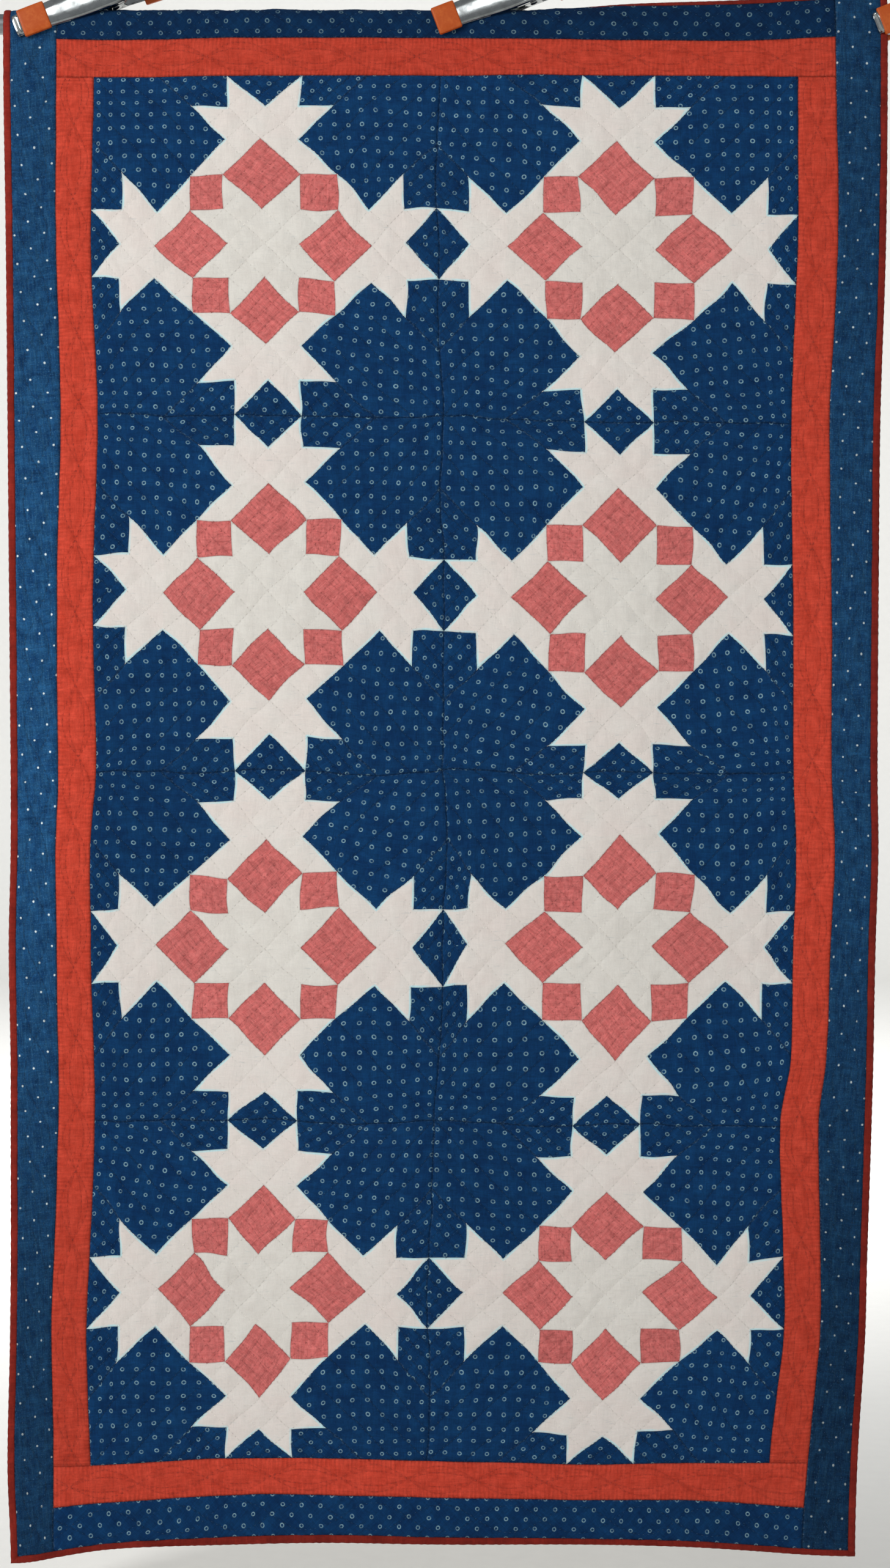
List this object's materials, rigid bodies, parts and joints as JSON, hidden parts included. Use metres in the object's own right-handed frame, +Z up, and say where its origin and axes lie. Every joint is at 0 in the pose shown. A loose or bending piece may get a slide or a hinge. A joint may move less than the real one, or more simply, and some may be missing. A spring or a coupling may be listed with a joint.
{
  "type": "star quilt on a hanging rod with spring clamps",
  "caption": "Antique patchwork star quilt with red and indigo borders, hung face on over a round metal rod and held along its top edge by spring clamps.",
  "frame": {"origin": "on the rod's axis, half way along the rod", "axes": "+Z up the hung quilt, +X along the rod to the right seen from the front, and the quilt's face looks along -Y"},
  "size_m": [1.1991, 0.084, 1.7615],
  "materials": {
    "patchwork": "indigo ring print, white muslin and pink cotton patches, hand quilted",
    "end_print": "indigo cotton printed with small pale rings, hand quilted",
    "side_print": "worn indigo cotton with small white dots, hand quilted",
    "red_cotton": "plain turkey red cotton, hand quilted",
    "binding_cotton": "dark red cotton, folded narrow binding",
    "rod_steel": "satin steel tube",
    "clamp_steel": "bright plated pressed steel",
    "vinyl": "orange dipped vinyl, scuffed"
  },
  "bodies": {
    "root": {"block_row1_col1": "patchwork", "block_row1_col2": "patchwork", "block_row2_col1": "patchwork", "block_row2_col2": "patchwork", "block_row3_col1": "patchwork", "block_row3_col2": "patchwork", "block_row4_col1": "patchwork", "block_row4_col2": "patchwork", "red_border_top": "red_cotton", "blue_border_top": "end_print", "binding_top": "binding_cotton", "red_border_bottom": "red_cotton", "blue_border_bottom": "end_print", "binding_bottom": "binding_cotton", "red_border_left": "red_cotton", "blue_border_left": "side_print", "binding_left": "binding_cotton", "red_border_right": "red_cotton", "blue_border_right": "side_print", "binding_right": "binding_cotton", "blue_border_left_over_rod": "side_print", "binding_left_over_rod": "binding_cotton", "blue_border_right_over_rod": "side_print", "binding_right_over_rod": "binding_cotton", "rod": "rod_steel", "clamp_left_arm_front": "clamp_steel", "clamp_left_arm_back": "clamp_steel", "clamp_left_pad_front": "vinyl", "clamp_left_pad_back": "vinyl", "clamp_left_grip_front": "vinyl", "clamp_left_grip_back": "vinyl", "clamp_left_pin": "clamp_steel", "clamp_left_spring": "clamp_steel", "clamp_middle_arm_front": "clamp_steel", "clamp_middle_arm_back": "clamp_steel", "clamp_middle_pad_front": "vinyl", "clamp_middle_pad_back": "vinyl", "clamp_middle_grip_front": "vinyl", "clamp_middle_grip_back": "vinyl", "clamp_middle_pin": "clamp_steel", "clamp_middle_spring": "clamp_steel", "clamp_right_arm_front": "clamp_steel", "clamp_right_arm_back": "clamp_steel", "clamp_right_pad_front": "vinyl", "clamp_right_pad_back": "vinyl", "clamp_right_grip_front": "vinyl", "clamp_right_grip_back": "vinyl", "clamp_right_pin": "clamp_steel", "clamp_right_spring": "clamp_steel"}
  },
  "joints": []
}
